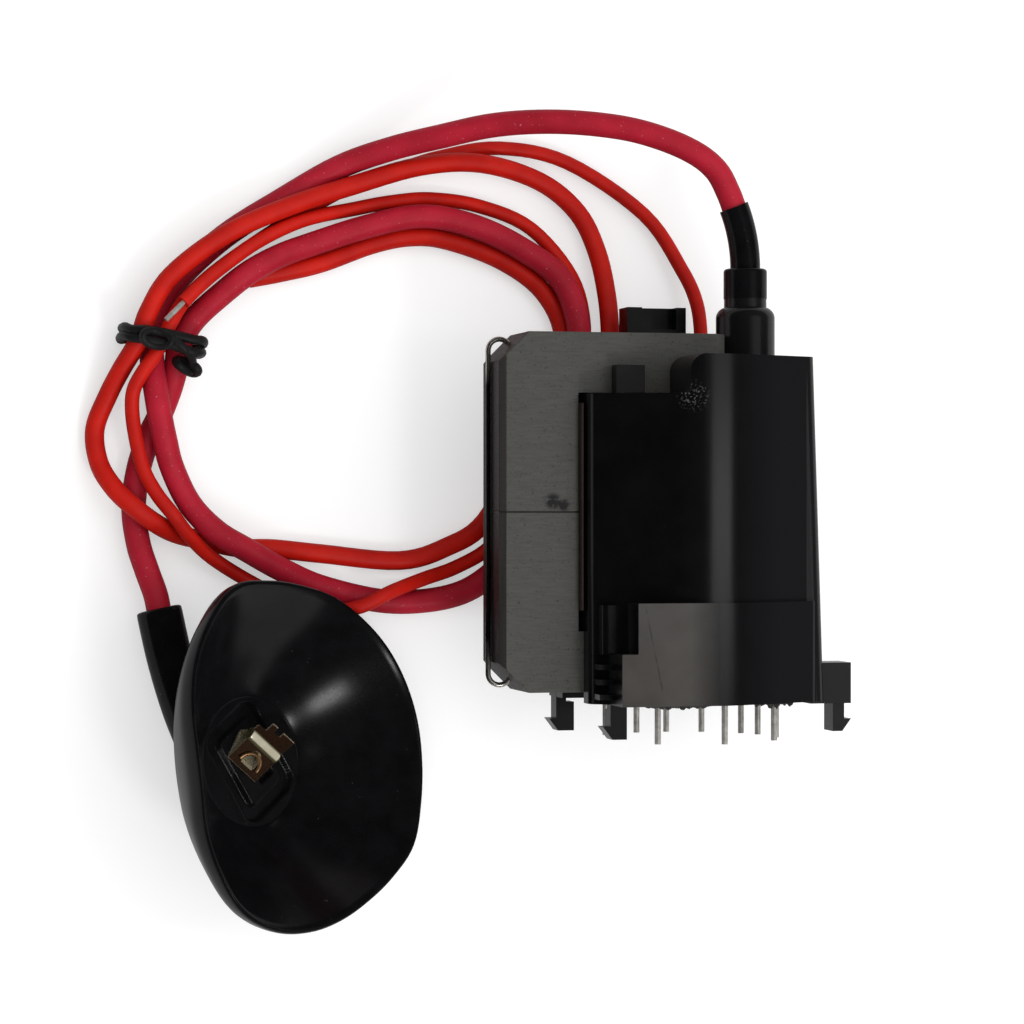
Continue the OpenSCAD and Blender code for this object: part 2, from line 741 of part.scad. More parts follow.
// Round wire of length l from point a, in line with the way from b to a
module wire_on(b, a, d, l) {
    v = unit(a - b);
    translate(a) rotate([0, acos(v[2]), atan2(v[1], v[0])]) cylinder(d = d, h = l);
}

tip_len = 5;

module anode_lead() {
    color(crimson) swept_tube(smooth_path(concat([sleeve_end, sleeve_end + lead_out * sleeve_dir],
        anode_route, [tube_end + lead_out * tube_dir, tube_end])), anode_d, 10);
}

module focus_lead() {
    color(orange_red) swept_tube(smooth_path(concat([focus_start, focus_start + [0, lead_out, 0]],
        focus_route)), focus_d, 8);
}

module screen_lead() {
    color(orange_red) swept_tube(smooth_path(concat([screen_start, screen_start + [0, lead_out, 0]],
        screen_route)), screen_d, 8);
}

module focus_lead_tip() {
    n = len(focus_route);
    color(tin) wire_on(focus_route[n - 2], focus_route[n - 1], tip_d, tip_len);
}

module screen_lead_tip() {
    n = len(screen_route);
    color(tin) wire_on(screen_route[n - 2], screen_route[n - 1], tip_d, tip_len);
}

// Middle of the tie and the way round the strands inside it, as [x, z]
tie_middle = [-97.1, 33];
tie_low = [-7.1, 1.1];
tie_high = [7.4, 10.4];
tie_wall = 1;
tie_w = 1.9;
tie_lean = -11;
tail_r = 1;
tail_len = 6;
loop_r = 2.3;

// Turns of the tie round the strands, the loop where they cross and the twisted ends
module twist_tie() {
    color([0.04, 0.04, 0.04]) translate([tie_middle[0], tie_middle[1], 0]) rotate([0, 0, tie_lean]) {
        along_y(-tie_w, tie_w) difference() {
            rounded_box(tie_low - [tie_wall, tie_wall], tie_high + [tie_wall, tie_wall], 3.4);
            rounded_box(tie_low, tie_high, 2.4);
        }
        translate([-1, -0.3, tie_high[1] + tie_wall + 0.4]) rotate_extrude()
            translate([loop_r, 0]) circle(r = tail_r);
        translate([tie_high[0] + tie_wall / 2, -1.1, tie_high[1] / 2]) rotate([0, 90, -42]) {
            cylinder(r = tail_r, h = tail_len);
            translate([0, 0, tail_len - 1]) sphere(r = 1.8);
        }
    }
}

// Anode cap

hub_end = cap_depth + cap_back;
rim_t = 1.2;
cap_reach = cap_r - cap_floor_r;
// Inside of the cup from the floor's edge to the rim, as [radius, height]
cap_inside = [
    [cap_floor_r, -cap_depth], [cap_floor_r + 1, 0.8 - cap_depth],
    [cap_floor_r + 0.3 * cap_reach, -0.74 * cap_depth],
    [cap_floor_r + 0.62 * cap_reach, -0.42 * cap_depth], [cap_r - rim_t, 0]
];
// Outside of the cup from the rim to the back, as [radius, height]
cap_outside = [
    [cap_r - 0.3, 0.2], [cap_r, -rim_t / 2], [cap_r - 0.7, -0.24 * cap_depth],
    [cap_floor_r + 0.84 * cap_reach, -0.47 * cap_depth], [cap_floor_r + 0.68 * cap_reach, -0.7 * cap_depth],
    [cap_floor_r + 0.5 * cap_reach, -0.91 * cap_depth],
    [cap_floor_r + 0.28 * cap_reach, -cap_depth - 0.25 * cap_back],
    [cap_floor_r + 0.5, -cap_depth - 0.6 * cap_back], [cap_floor_r - 4, -cap_depth - 0.88 * cap_back],
    [cap_floor_r - 8, -hub_end]
];
// How far the soft rim is pushed out of round, at equal steps round it
rim_push = [
    -0.5, -0.5, -0.5, -0.5, 0, 0.5, 2, 4, 2.5, 0.5, -2, -4,
    -4, -2, 0, 2, 2, 1, 0, -0.5, 0, 1, 0, -0.5
];
cap_sides = 2 * len(rim_push);

// Push at side k, eased between its neighbours, for a point at radius r
function push_at(k, r) =
    let(n = len(rim_push), i = floor(k / 2), a = rim_push[i % n], b = rim_push[(i + 1) % n])
    (k % 2 == 0 ? a : (a + b) / 2) * pow(max(0, r - cap_floor_r) / cap_reach, 1.5);

function cap_ring(p) = [for (k = [0:cap_sides - 1])
    let(a = 360 * k / cap_sides, r = p[0] + push_at(k, p[0]))
    [r * cos(a), r * sin(a), p[1]]];

// Height of the rim's centre at which the leaning cap just touches the table
cap_z = max([for (p = cap_outside) p[0] * sin(cap_tilt) - p[1] * cos(cap_tilt)]);
cap_centre = [-71.9, -46.1, cap_z];
// Way of the lead's entry tube from its mouth into the back of the cap
tube_route = [[-97.6, -18.6, 5.8], [-95.6, -28, 6.6], [-93.2, -37, 9], [-90.6, -44.5, 12]];
tube_end = tube_route[0];
tube_dir = unit(tube_route[0] - tube_route[1]);

module in_cap() translate(cap_centre) rotate([0, 0, cap_turn]) rotate([0, cap_tilt, 0]) children();

module cap_shell() {
    rings = [for (p = concat(cap_inside, cap_outside)) cap_ring(p)];
    n = len(rings);
    s = cap_sides;
    polyhedron(
        points = [for (r = rings) each r],
        faces = concat(
            [[for (k = [0:s - 1]) s - 1 - k]],
            [for (i = [0:n - 2], k = [0:s - 1]) let(m = (k + 1) % s)
                each [[i * s + k, i * s + m, (i + 1) * s + m],
                    [i * s + k, (i + 1) * s + m, (i + 1) * s + k]]],
            [[for (k = [0:s - 1]) (n - 1) * s + k]]),
        convexity = 6);
}

groove_deep = 1.2;
groove_w = 2.6;
island = [9.6, 15];
island_turn = 22;

// Groove round the island that carries the clip, and the slot in front of the clip
module floor_cuts() {
    translate([0, 0, -cap_depth - groove_deep]) rotate([0, 0, island_turn]) {
        linear_extrude(groove_deep + past) intersection() {
            circle(r = cap_floor_r - 1);
            difference() {
                square(island + 2 * [groove_w, groove_w], center = true);
                square(island, center = true);
            }
        }
        translate([-0.4, -5, 0]) cube([4, 1.6, groove_deep + past]);
    }
}

module anode_cap() {
    color(black_rubber) difference() {
        union() {
            in_cap() cap_shell();
            swept_tube(smooth_path(tube_route), 2 * cap_tube_r, 24);
        }
        in_cap() floor_cuts();
    }
}

clip_len = 8.4;
clip_t = 0.5;
clip_turn = 42;
clip_place = [0.7, 2.6];
clip_foot = -4.9;
clip_crest = 3.7;
// Section of the clip from its foot over the crest to the free edge, as [x, height]
clip_section = [
    [1.1, clip_t / 2], [clip_foot, clip_t / 2], [-1.1, 3.1],
    [-0.3, clip_crest], [0.8, clip_crest], [3.4, 6.2]
];

// Sheet that follows a line of points
module bent_sheet(p, t) {
    for (i = [0:len(p) - 2]) {
        d = p[i + 1] - p[i];
        translate(p[i]) rotate(atan2(d[1], d[0])) translate([0, -t / 2]) square([norm(d), t]);
        translate(p[i + 1]) circle(d = t);
    }
}

module on_island()
    in_cap() translate([clip_place[0], clip_place[1], -cap_depth]) rotate([0, 0, clip_turn]) children();

// Sprung clip, folded from one strip, with a round cut in its sloping leg and steps in its free edge
module anode_clip() {
    cut_r = 1.8;
    color(tin) on_island() difference() {
        rotate([90, 0, 0]) translate([0, 0, -clip_len / 2]) linear_extrude(clip_len) {
            bent_sheet(clip_section, clip_t);
            bent_sheet([[1.1, clip_t / 2], [0.8, clip_crest]], clip_t);
        }
        translate([-3.2, 0, 2 * clip_t]) cylinder(r = cut_r, h = clip_crest);
        translate([2, clip_len / 2 - 2, clip_crest]) cube([4, 2 + past, clip_crest]);
        translate([2.6, -1, clip_crest]) cube([4, 1.8, clip_crest]);
    }
}

// Wire that springs round the cut in the clip's leg
module clip_spring() {
    wire_d = 0.7;
    slope = atan2(3.1 - clip_t / 2, -1.1 - clip_foot);
    color([0.72, 0.45, 0.25]) on_island() translate([clip_foot, 0, clip_t / 2]) rotate([0, -slope, 0])
        translate([1.4, 0, (clip_t + wire_d) / 2 + bond])
            rotate([0, 0, -90]) rotate_extrude(angle = 180) translate([2.4, 0]) circle(d = wire_d);
}

case();
potting_resin();
upper_core();
lower_core();
outer_gap_film();
inner_gap_film();
core_clip();
insulation_sheet();
primary_bobbin();
primary_winding();
secondary_bobbin();
secondary_winding();
rectifier_diodes();
terminal_pins();
focus_pack_cover();
resistor_board();
focus_knob();
screen_knob();
focus_wiper();
screen_wiper();
lead_collar();
lead_sleeve();
anode_lead();
focus_lead();
screen_lead();
focus_lead_tip();
screen_lead_tip();
anode_cap();
anode_clip();
clip_spring();
twist_tie();
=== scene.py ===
import math
import bmesh
import bpy
from mathutils import Matrix, Vector


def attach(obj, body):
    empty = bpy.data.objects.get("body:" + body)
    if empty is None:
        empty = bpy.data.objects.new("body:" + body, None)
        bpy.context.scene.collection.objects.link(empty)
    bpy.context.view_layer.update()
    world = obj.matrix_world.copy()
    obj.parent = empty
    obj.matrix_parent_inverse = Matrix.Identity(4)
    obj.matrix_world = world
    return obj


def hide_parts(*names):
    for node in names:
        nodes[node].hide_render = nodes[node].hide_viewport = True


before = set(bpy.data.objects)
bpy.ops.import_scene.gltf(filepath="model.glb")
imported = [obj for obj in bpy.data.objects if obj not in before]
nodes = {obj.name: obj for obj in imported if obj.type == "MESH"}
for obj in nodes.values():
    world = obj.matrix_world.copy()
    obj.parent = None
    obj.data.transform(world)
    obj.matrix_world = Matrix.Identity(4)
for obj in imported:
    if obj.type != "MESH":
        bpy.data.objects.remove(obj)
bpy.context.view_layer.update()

MM = 0.001
scene = bpy.context.scene
scene.view_settings.view_transform = "Standard"


# Shader nodes

def new_material(name):
    material = bpy.data.materials.new(name)
    material.use_nodes = True
    tree = material.node_tree
    tree.nodes.clear()
    out = tree.nodes.new("ShaderNodeOutputMaterial")
    shader = tree.nodes.new("ShaderNodeBsdfPrincipled")
    tree.links.new(shader.outputs["BSDF"], out.inputs["Surface"])
    return material, tree, shader


def position(tree, stretch=(1, 1, 1)):
    coords = tree.nodes.new("ShaderNodeTexCoord")
    mapping = tree.nodes.new("ShaderNodeMapping")
    mapping.inputs["Scale"].default_value = stretch
    tree.links.new(coords.outputs["Object"], mapping.inputs["Vector"])
    return mapping.outputs["Vector"]


def noise(tree, place, scale, detail=4, rough=0.55):
    node = tree.nodes.new("ShaderNodeTexNoise")
    node.inputs["Scale"].default_value = scale
    node.inputs["Detail"].default_value = detail
    node.inputs["Roughness"].default_value = rough
    tree.links.new(place, node.inputs["Vector"])
    return node.outputs["Fac"]


def ramp(tree, value, stops):
    node = tree.nodes.new("ShaderNodeValToRGB")
    elements = node.color_ramp.elements
    while len(elements) < len(stops):
        elements.new(0.5)
    for element, (place, colour) in zip(elements, stops):
        element.position = place
        element.color = (*colour, 1)
    tree.links.new(value, node.inputs["Fac"])
    return node.outputs["Color"]


def remap(tree, value, low, high, to_low, to_high):
    node = tree.nodes.new("ShaderNodeMapRange")
    for name, number in (("From Min", low), ("From Max", high), ("To Min", to_low), ("To Max", to_high)):
        node.inputs[name].default_value = number
    tree.links.new(value, node.inputs["Value"])
    return node.outputs["Result"]


def bump(tree, height, strength, distance):
    node = tree.nodes.new("ShaderNodeBump")
    node.inputs["Strength"].default_value = strength
    node.inputs["Distance"].default_value = distance
    tree.links.new(height, node.inputs["Height"])
    return node.outputs["Normal"]


def combine(tree, operation, a, b=None):
    node = tree.nodes.new("ShaderNodeMath")
    node.operation = operation
    tree.links.new(a, node.inputs[0])
    if b is not None:
        tree.links.new(b, node.inputs[1])
    return node.outputs[0]


def both(tree, a, b):
    return combine(tree, "MULTIPLY", a, b)


def along(tree, place, axis):
    node = tree.nodes.new("ShaderNodeSeparateXYZ")
    tree.links.new(place, node.inputs["Vector"])
    return node.outputs[axis]


def fade(tree, place, axis, start, end, low=0, high=1):
    """Goes from low to high between two places on an axis, in millimetres."""
    return remap(tree, along(tree, place, axis), start * MM, end * MM, low, high)


def spot(tree, place, centre, radius, soft=0.5):
    """One inside a ball about a point given in millimetres, nought outside it."""
    away = tree.nodes.new("ShaderNodeVectorMath")
    away.operation = "DISTANCE"
    away.inputs[1].default_value = Vector(centre) * MM
    tree.links.new(place, away.inputs[0])
    return remap(tree, away.outputs["Value"], radius * MM, radius * MM * (1 - soft), 0, 1)


def facing(tree, direction):
    """How squarely the surface faces a direction, from -1 to 1."""
    geometry = tree.nodes.new("ShaderNodeNewGeometry")
    dot = tree.nodes.new("ShaderNodeVectorMath")
    dot.operation = "DOT_PRODUCT"
    dot.inputs[1].default_value = direction
    tree.links.new(geometry.outputs["Normal"], dot.inputs[0])
    return dot.outputs["Value"]


def paint_over(tree, below, mask, colour):
    node = tree.nodes.new("ShaderNodeMix")
    node.data_type = "RGBA"
    if isinstance(colour, tuple):
        node.inputs["B"].default_value = (*colour, 1)
    else:
        tree.links.new(colour, node.inputs["B"])
    tree.links.new(mask, node.inputs["Factor"])
    tree.links.new(below, node.inputs["A"])
    return node.outputs["Result"]


# Materials: NOISE_LOW to NOISE_HIGH is the range that most of a noise fills

NOISE_LOW = 0.3
NOISE_HIGH = 0.7
FLECK_EDGE = 0.03


def surface(name, dark, light, rough=(0.35, 0.5), metal=0.0, specular=0.5, mottle=300, grain=2500,
            grain_depth=0.03, grain_strength=0.3, stretch=(1, 1, 1), flecks=None, extra=None, polish=None):
    """A finish with mottled colour and roughness, fine grain and a few flecks."""
    material, tree, shader = new_material(name)
    place = position(tree, stretch)
    patches = noise(tree, place, mottle)
    fine = noise(tree, place, grain, 3, 0.6)
    colour = ramp(tree, patches, [(NOISE_LOW, dark), (NOISE_HIGH, light)])
    if flecks:
        scale, cut, tint = flecks
        specks = remap(tree, noise(tree, position(tree), scale, 2), cut, cut + FLECK_EDGE, 0, 1)
        colour = paint_over(tree, colour, specks, tint)
    if extra:
        colour = extra(tree, colour)
    tree.links.new(colour, shader.inputs["Base Color"])
    roughness = remap(tree, fine, NOISE_LOW, NOISE_HIGH, *rough)
    if polish:
        roughness = polish(tree, roughness)
    tree.links.new(roughness, shader.inputs["Roughness"])
    tree.links.new(bump(tree, fine, grain_strength, grain_depth * MM), shader.inputs["Normal"])
    shader.inputs["Metallic"].default_value = metal
    shader.inputs["Specular IOR Level"].default_value = specular
    return material


# Marks and painted sheen on the case, with places and radii in millimetres
# Painted sheen: from here to the right the case is painted a lighter grey, standing in for the glint of its
# right face
PAINTED_SHEEN_X = (2, 14)
SCUFF_AT = (-3.8, 21.6, 50.4)
SCUFF_R = 3.4
DUST_AT = (13, 24.6, 46.4)
DUST_R = 0.5
# The base's panel: painted grey, partly its ground finish and partly a painted sheen
PANEL_Z = (52.55, 52.7)
PANEL_X = (0.6, -5)
SCRATCH_AT = (-12.1, -25.4, 52.8)
SCRATCH_R = 8.2
SCRATCH_TURN = math.radians(11.8)
SCRATCH_EDGE = (0.18, 0.04)
LOW_STEP_Z = (47.5, 47)
STEP_ROUGHNESS = 0.36


def scratch(tree, place):
    """A broken line down the base's panel."""
    turned = tree.nodes.new("ShaderNodeMapping")
    turned.vector_type = "TEXTURE"
    turned.inputs["Location"].default_value = Vector(SCRATCH_AT) * MM
    turned.inputs["Rotation"].default_value = (0, 0, SCRATCH_TURN)
    tree.links.new(place, turned.inputs["Vector"])
    off = combine(tree, "ABSOLUTE", along(tree, turned.outputs["Vector"], "X"))
    line = remap(tree, off, SCRATCH_EDGE[0] * MM, SCRATCH_EDGE[1] * MM, 0, 1)
    broken = remap(tree, noise(tree, place, 500, 3), 0.42, 0.56, 0, 0.8)
    return both(tree, both(tree, line, broken), spot(tree, place, SCRATCH_AT, SCRATCH_R, 0.1))


def case_marks_and_sheen(tree, colour):
    """A painted sheen on the right, scuffs, a speck of dust, and the base's panel, painted grey partly as its
    ground finish and partly as a painted sheen, with its scratch.
    """
    place = position(tree)
    # Painted sheen: the right of the case painted a lighter grey
    colour = paint_over(tree, colour, fade(tree, place, "X", *PAINTED_SHEEN_X), (0.0085, 0.008, 0.009))
    chips = remap(tree, noise(tree, place, 2300, 2), 0.57, 0.62, 0, 1)
    scuffs = both(tree, chips, spot(tree, place, SCUFF_AT, SCUFF_R))
    colour = paint_over(tree, colour, scuffs, (0.07, 0.07, 0.072))
    colour = paint_over(tree, colour, spot(tree, place, DUST_AT, DUST_R), (0.25, 0.27, 0.3))
    # The panel's grey is partly its ground finish and partly a painted sheen
    panel = both(tree, fade(tree, place, "Z", *PANEL_Z), fade(tree, place, "X", *PANEL_X, 0.12, 1))
    panel_grey_and_sheen = ramp(tree, noise(tree, place, 120),
                 [(NOISE_LOW, (0.038, 0.034, 0.03)), (NOISE_HIGH, (0.055, 0.05, 0.045))])
    colour = paint_over(tree, colour, panel, panel_grey_and_sheen)
    return paint_over(tree, colour, scratch(tree, place), (0.016, 0.015, 0.014))


def case_polish(tree, roughness):
    """Finely matt on the low steps that face up."""
    low = fade(tree, position(tree), "Z", *LOW_STEP_Z)
    flat = remap(tree, facing(tree, (0, 0, 1)), 0.95, 0.99, 0, STEP_ROUGHNESS)
    return combine(tree, "MAXIMUM", roughness, both(tree, low, flat))


# Painted shade on the clip's wire, and marks and painted shade on the core
HOOK_Y = (27, 24)
SMEARS = [((-27.4, 2, 37.5), 1.9), ((-25.4, 1.4, 37.5), 1.6)]


def wire_painted_shade(tree, colour):
    """Painted shade: dark along the core's side, where the wire mirrors dark surroundings, and bright at the
    hooks.
    """
    far = combine(tree, "ABSOLUTE", along(tree, position(tree), "Y"))
    painted_shade = remap(tree, far, HOOK_Y[0] * MM, HOOK_Y[1] * MM, 0, 1)
    # Painted shade: the wire painted dark along the core's side
    return paint_over(tree, colour, painted_shade, (0.05, 0.048, 0.046))


def ferrite_marks_and_shade(tree, colour):
    """A dark smear by the joint, the left side painted dark in streaks as shade, and pits from grinding."""
    place = position(tree)
    smear = remap(tree, noise(tree, place, 900, 3), 0.36, 0.5, 0, 1)
    for centre, radius in SMEARS:
        mask = both(tree, smear, spot(tree, place, centre, radius))
        colour = paint_over(tree, colour, mask, (0.012, 0.011, 0.012))
    # Painted shade: the left side, facing away from the light, painted dark in streaks
    side = remap(tree, facing(tree, (1, 0, 0)), -0.5, -0.8, 0, 1)
    shade_stripes = ramp(tree, noise(tree, position(tree, (1, 0.05, 1)), 700, 3),
                   [(0.35, (0.006, 0.005, 0.005)), (0.7, (0.024, 0.018, 0.016))])
    colour = paint_over(tree, colour, side, shade_stripes)
    pits = remap(tree, noise(tree, place, 2600, 2), 0.64, 0.68, 0, 0.8)
    return paint_over(tree, colour, pits, (0.025, 0.024, 0.024))


# Directions that the cup's clip faces with its leaf, painted dark as shade there, and with the bright top of
# its crest, a painted highlight whose sides are painted olive as shade
CLIP_LEAF = (0.14, -0.41, 0.9)
CLIP_CREST = (0.3, -0.02, 0.954)


def clip_painted_shade(tree, colour):
    """Painted shade: dark brown on the leaves, by the way they face."""
    # Painted shade: leaf faces turned this way are painted dark brown
    shaded_leaf = remap(tree, facing(tree, CLIP_LEAF), 0.86, 0.95, 0, 1)
    return paint_over(tree, colour, shaded_leaf, (0.05, 0.024, 0.012))


def crest_painted_shade(tree, colour):
    """Painted shade: olive on the sides of the crest, whose pale top stands as a painted highlight."""
    # Painted shade: the crest's sides painted olive
    sides = remap(tree, facing(tree, CLIP_CREST), 0.92, 0.8, 0, 1)
    return paint_over(tree, colour, sides, (0.13, 0.118, 0.06))


case_plastic = surface(
    "case_plastic", (0.0022, 0.0021, 0.0024), (0.004, 0.0038, 0.0042), (0.2, 0.26), specular=0.32, mottle=180,
    grain=3500, grain_depth=0.012, flecks=(3000, 0.76, (0.08, 0.08, 0.08)),
    extra=case_marks_and_sheen, polish=case_polish)
black_rubber = surface(
    "black_rubber", (0.003, 0.003, 0.0034), (0.0055, 0.0052, 0.006), (0.17, 0.25), specular=0.15, mottle=220,
    grain=3000, grain_depth=0.008, flecks=(1500, 0.765, (0.12, 0.12, 0.13)))
ferrite = surface(
    "ferrite", (0.058, 0.057, 0.051), (0.075, 0.074, 0.067), (0.42, 0.58), specular=0.35, mottle=2600,
    grain=3600, stretch=(0.12, 1, 0.3), extra=ferrite_marks_and_shade)
resin = surface("resin", (0.012, 0.011, 0.01), (0.03, 0.027, 0.024), (0.4, 0.6))
film = surface("film", (0.008, 0.007, 0.006), (0.016, 0.014, 0.012))
spring_wire = surface(
    "spring_wire", (0.42, 0.4, 0.36), (0.66, 0.64, 0.58), (0.2, 0.35), metal=1.0, stretch=(1, 0.1, 1),
    extra=wire_painted_shade)
brown_sheet = surface(
    "brown_sheet", (0.02, 0.011, 0.007), (0.036, 0.02, 0.012), (0.6, 0.8), stretch=(1, 0.3, 1))
bobbin_plastic = surface("bobbin_plastic", (0.62, 0.58, 0.48), (0.74, 0.7, 0.6))
copper_wire = surface(
    "copper_wire", (0.4, 0.15, 0.06), (0.6, 0.25, 0.1), (0.25, 0.4), metal=1.0, stretch=(1, 6, 1))
diode_body = surface("diode_body", (0.03, 0.03, 0.035), (0.05, 0.05, 0.055))
tinned_wire = surface(
    "tinned_wire", (0.5, 0.48, 0.44), (0.78, 0.76, 0.71), (0.28, 0.48), metal=0.7, mottle=900)
ceramic = surface("ceramic", (0.68, 0.66, 0.58), (0.78, 0.76, 0.68), (0.5, 0.7))
knob_plastic = surface("knob_plastic", (0.5, 0.5, 0.46), (0.62, 0.62, 0.58), specular=0.4)
contact_brass = surface("contact_brass", (0.42, 0.22, 0.1), (0.66, 0.38, 0.2), (0.25, 0.4), metal=1.0)
clip_metal = surface(
    "clip_metal", (0.46, 0.38, 0.22), (0.7, 0.64, 0.48), (0.2, 0.32), metal=0.75, mottle=260,
    grain_depth=0.004, extra=clip_painted_shade)
# Painted highlight: the crest's pale, less metallic finish stands for the glint on its top
crest_metal_painted_highlight = surface(
    "crest_metal_painted_highlight", (0.66, 0.6, 0.42), (0.84, 0.8, 0.62), (0.16, 0.26), metal=0.45, mottle=400,
    grain_depth=0.004, extra=crest_painted_shade)
tie_plastic = surface(
    "tie_plastic", (0.004, 0.004, 0.004), (0.012, 0.012, 0.012), (0.4, 0.55), specular=0.3, grain=1800)
crimson = surface(
    "crimson_insulation", (0.35, 0.009, 0.022), (0.47, 0.013, 0.033), (0.4, 0.52), specular=0.14, mottle=130,
    grain=1600, flecks=(2200, 0.7, (0.5, 0.12, 0.16)))
orange = surface(
    "orange_insulation", (0.44, 0.007, 0.004), (0.6, 0.012, 0.005), (0.4, 0.52), specular=0.14, mottle=130,
    grain=1600, flecks=(2600, 0.72, (0.3, 0.01, 0.01)))

FINISH = {
    "case": case_plastic, "potting_resin": resin, "upper_core": ferrite, "lower_core": ferrite,
    "outer_gap_film": film, "inner_gap_film": film, "core_clip": spring_wire, "insulation_sheet": brown_sheet,
    "primary_bobbin": bobbin_plastic, "primary_winding": copper_wire, "secondary_bobbin": bobbin_plastic,
    "secondary_winding": copper_wire, "rectifier_diodes": diode_body, "terminal_pins": tinned_wire,
    "focus_pack_cover": case_plastic, "resistor_board": ceramic, "focus_knob": knob_plastic,
    "screen_knob": knob_plastic, "focus_wiper": contact_brass, "screen_wiper": contact_brass,
    "lead_collar": black_rubber, "lead_sleeve": black_rubber, "anode_lead": crimson, "focus_lead": orange,
    "screen_lead": orange, "focus_lead_tip": tinned_wire, "screen_lead_tip": tinned_wire,
    "anode_cap": black_rubber, "anode_clip": clip_metal, "clip_spring": contact_brass,
    "twist_tie": tie_plastic,
}
for name, finish in FINISH.items():
    slots = nodes[name].data.materials
    slots.clear()
    slots.append(finish)


# Rounded edges of the moulded and ground pieces, with widths in millimetres

EDGES = {
    "case": 0.3, "upper_core": 0.25, "lower_core": 0.25, "focus_pack_cover": 0.3, "anode_clip": 0.08,
    "insulation_sheet": 0.05, "focus_knob": 0.15, "screen_knob": 0.15,
}
WELD_GAP = 0.01
FLAT_ANGLE = math.radians(0.6)
EDGE_ANGLE = math.radians(35)


def soften(piece, width):
    weld = piece.modifiers.new("weld", "WELD")
    weld.merge_threshold = WELD_GAP * MM
    flat = piece.modifiers.new("flat", "DECIMATE")
    flat.decimate_type = "DISSOLVE"
    flat.angle_limit = FLAT_ANGLE
    edge = piece.modifiers.new("edge", "BEVEL")
    edge.width = width * MM
    edge.segments = 2
    edge.limit_method = "ANGLE"
    edge.angle_limit = EDGE_ANGLE
    piece.modifiers.new("shading", "WEIGHTED_NORMAL").keep_sharp = True


for name, width in EDGES.items():
    soften(nodes[name], width)


# Meshes, curves and smooth lines, in millimetres

def add_piece(name, data, finish, slot, *stands_for):
    data.materials.append(finish)
    piece = bpy.data.objects.new(name, data)
    scene.collection.objects.link(piece)
    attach(piece, "housing")
    if stands_for:
        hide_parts(*stands_for)
    return piece


def loft(name, rings):
    """A smooth mesh with flat ends through rings of equally many points."""
    sides = len(rings[0])
    points = [Vector(v) * MM for row in rings for v in row]
    faces = [tuple(reversed(range(sides))), tuple(range(len(points) - sides, len(points)))]
    for i in range(0, len(points) - sides, sides):
        for k in range(sides):
            m = (k + 1) % sides
            faces.append((i + k, i + m, i + sides + m, i + sides + k))
    mesh = bpy.data.meshes.new(name)
    mesh.from_pydata(points, [], faces)
    mesh.update()
    fix = bmesh.new()
    fix.from_mesh(mesh)
    bmesh.ops.recalc_face_normals(fix, faces=fix.faces)
    fix.to_mesh(mesh)
    fix.free()
    for face in mesh.polygons:
        face.use_smooth = len(face.vertices) == 4
    return mesh


def ring(centre, ahead, radius, sides):
    """Points round a place on a line that runs ahead."""
    across = ahead.cross(Vector((0, 0, 1))).normalized()
    up = across.cross(ahead)
    angles = [2 * math.pi * k / sides for k in range(sides)]
    return [centre + radius * (math.cos(a) * across + math.sin(a) * up) for a in angles]


def wire_curve(name, lines, bevel_resolution):
    """Round wires through points, each given with its radius."""
    curve = bpy.data.curves.new(name, "CURVE")
    curve.dimensions = "3D"
    curve.bevel_depth = MM
    curve.bevel_resolution = bevel_resolution
    curve.use_fill_caps = True
    for line in lines:
        spline = curve.splines.new("POLY")
        spline.points.add(len(line) - 1)
        for point, (place, radius) in zip(spline.points, line):
            point.co = (*(place * MM), 1)
            point.radius = radius
    return curve


def curve_point(a, b, c, d, t):
    """Place between b and c on the smooth curve through a, b, c and d."""
    bend = (2 * a - 5 * b + 4 * c - d) * t * t + (3 * b - a - 3 * c + d) * t ** 3
    return 0.5 * (2 * b + (c - a) * t + bend)


def smooth_path(points, steps):
    p = [Vector(point) for point in points]
    p = [2 * p[0] - p[1]] + p + [2 * p[-1] - p[-2]]
    path = []
    for i in range(1, len(p) - 2):
        path += [curve_point(p[i - 1], p[i], p[i + 1], p[i + 2], k / steps) for k in range(steps)]
    return path + [p[-2]]


def spline_at(values, place, closed):
    """Smooth value between the entries of a list, which may close on itself."""
    count = len(values)
    i = math.floor(place)
    near = [k % count if closed else min(max(k, 0), count - 1) for k in range(i - 1, i + 3)]
    return curve_point(*(values[k] for k in near), place - i)


def eased(value):
    value = min(max(value, 0.0), 1.0)
    return value * value * (3 - 2 * value)


# Ragged resin under the base's edge: start and end in X, height and depth of each piece

BASE_BOTTOM = -36
FLASH_SINK = 0.15
FLASH_HALF = 0.6
FLASH_STEPS = 60
FLASHES = [("left_flash", -13.4, -0.6, 51.2, 0.55), ("right_flash", 10.6, 19.4, 41, 1.1)]


def flash_drop(x, depth):
    """How far the resin hangs down, from waves of unlike lengths."""
    coarse = abs(math.sin(0.9 * x + 0.6) * math.sin(2.3 * x))
    return depth * (0.35 + 0.9 * coarse + 0.3 * abs(math.sin(6.1 * x)))


def build_flash(name, x_start, x_end, z, depth):
    top = BASE_BOTTOM + FLASH_SINK
    rings = []
    for k in range(FLASH_STEPS + 1):
        x = x_start + (x_end - x_start) * k / FLASH_STEPS
        low = BASE_BOTTOM - flash_drop(x, depth) * math.sin(math.pi * k / FLASH_STEPS) ** 0.4
        rings.append([(x, top, z - FLASH_HALF), (x, top, z + FLASH_HALF),
                      (x, low, z + FLASH_HALF / 2), (x, low, z - FLASH_HALF / 2)])
    return add_piece(name, loft(name, rings), resin, "resin")


for flash in FLASHES:
    build_flash(*flash)


# Anode cap: its profiles are pairs of radius and height over the rim

